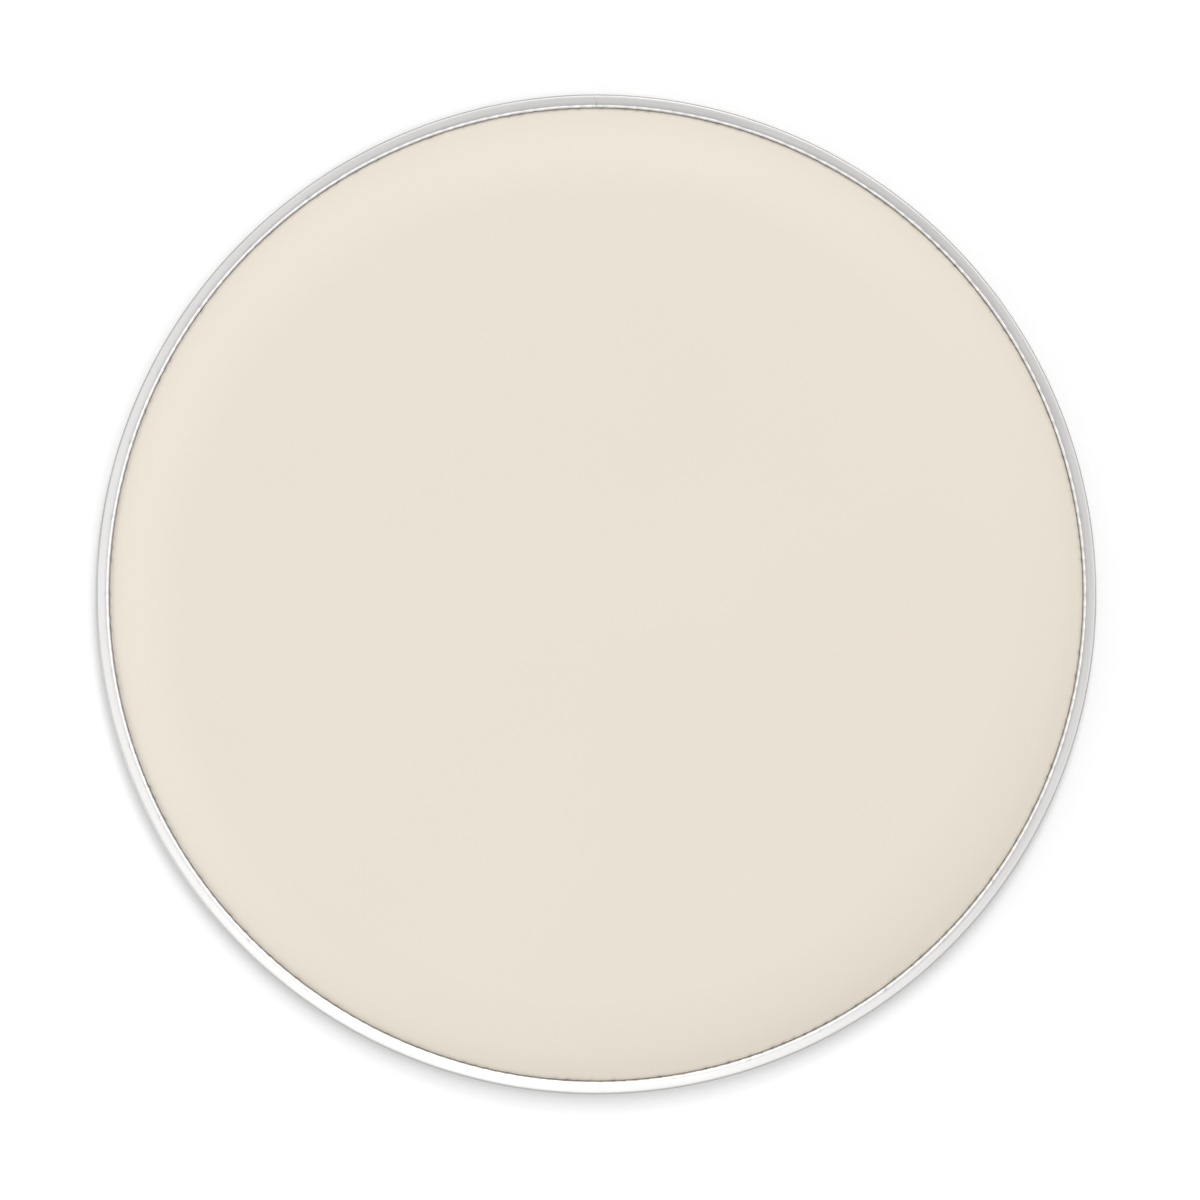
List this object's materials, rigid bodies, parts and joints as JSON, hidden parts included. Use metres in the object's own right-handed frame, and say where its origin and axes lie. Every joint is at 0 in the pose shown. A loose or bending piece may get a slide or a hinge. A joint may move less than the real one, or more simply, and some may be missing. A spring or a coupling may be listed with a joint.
{
  "type": "drum head",
  "caption": "Round drum head: a cream plastic film with a bent collar, its hem locked round a wire inside a crimped metal channel hoop.",
  "frame": {"origin": "centre of the hoop's lower face, on the surface that the head lies on", "axes": "+Z along the drum's axis towards the playing face, +Y towards the hoop's butt joint, +X to the right of the picture"},
  "size_m": [0.37, 0.37, 0.017],
  "materials": {
    "film": "cream polyester film with a soft sheen",
    "hoop": "satin, brushed round the hoop",
    "wire": "drawn wire",
    "adhesive": "cured amber adhesive",
    "sleeve": "mill finish strip"
  },
  "bodies": {
    "root": {"film_membrane": "film", "hoop_channel": "hoop", "locking_wire": "wire", "adhesive_bed": "adhesive", "joint_sleeve": "sleeve"}
  },
  "joints": []
}
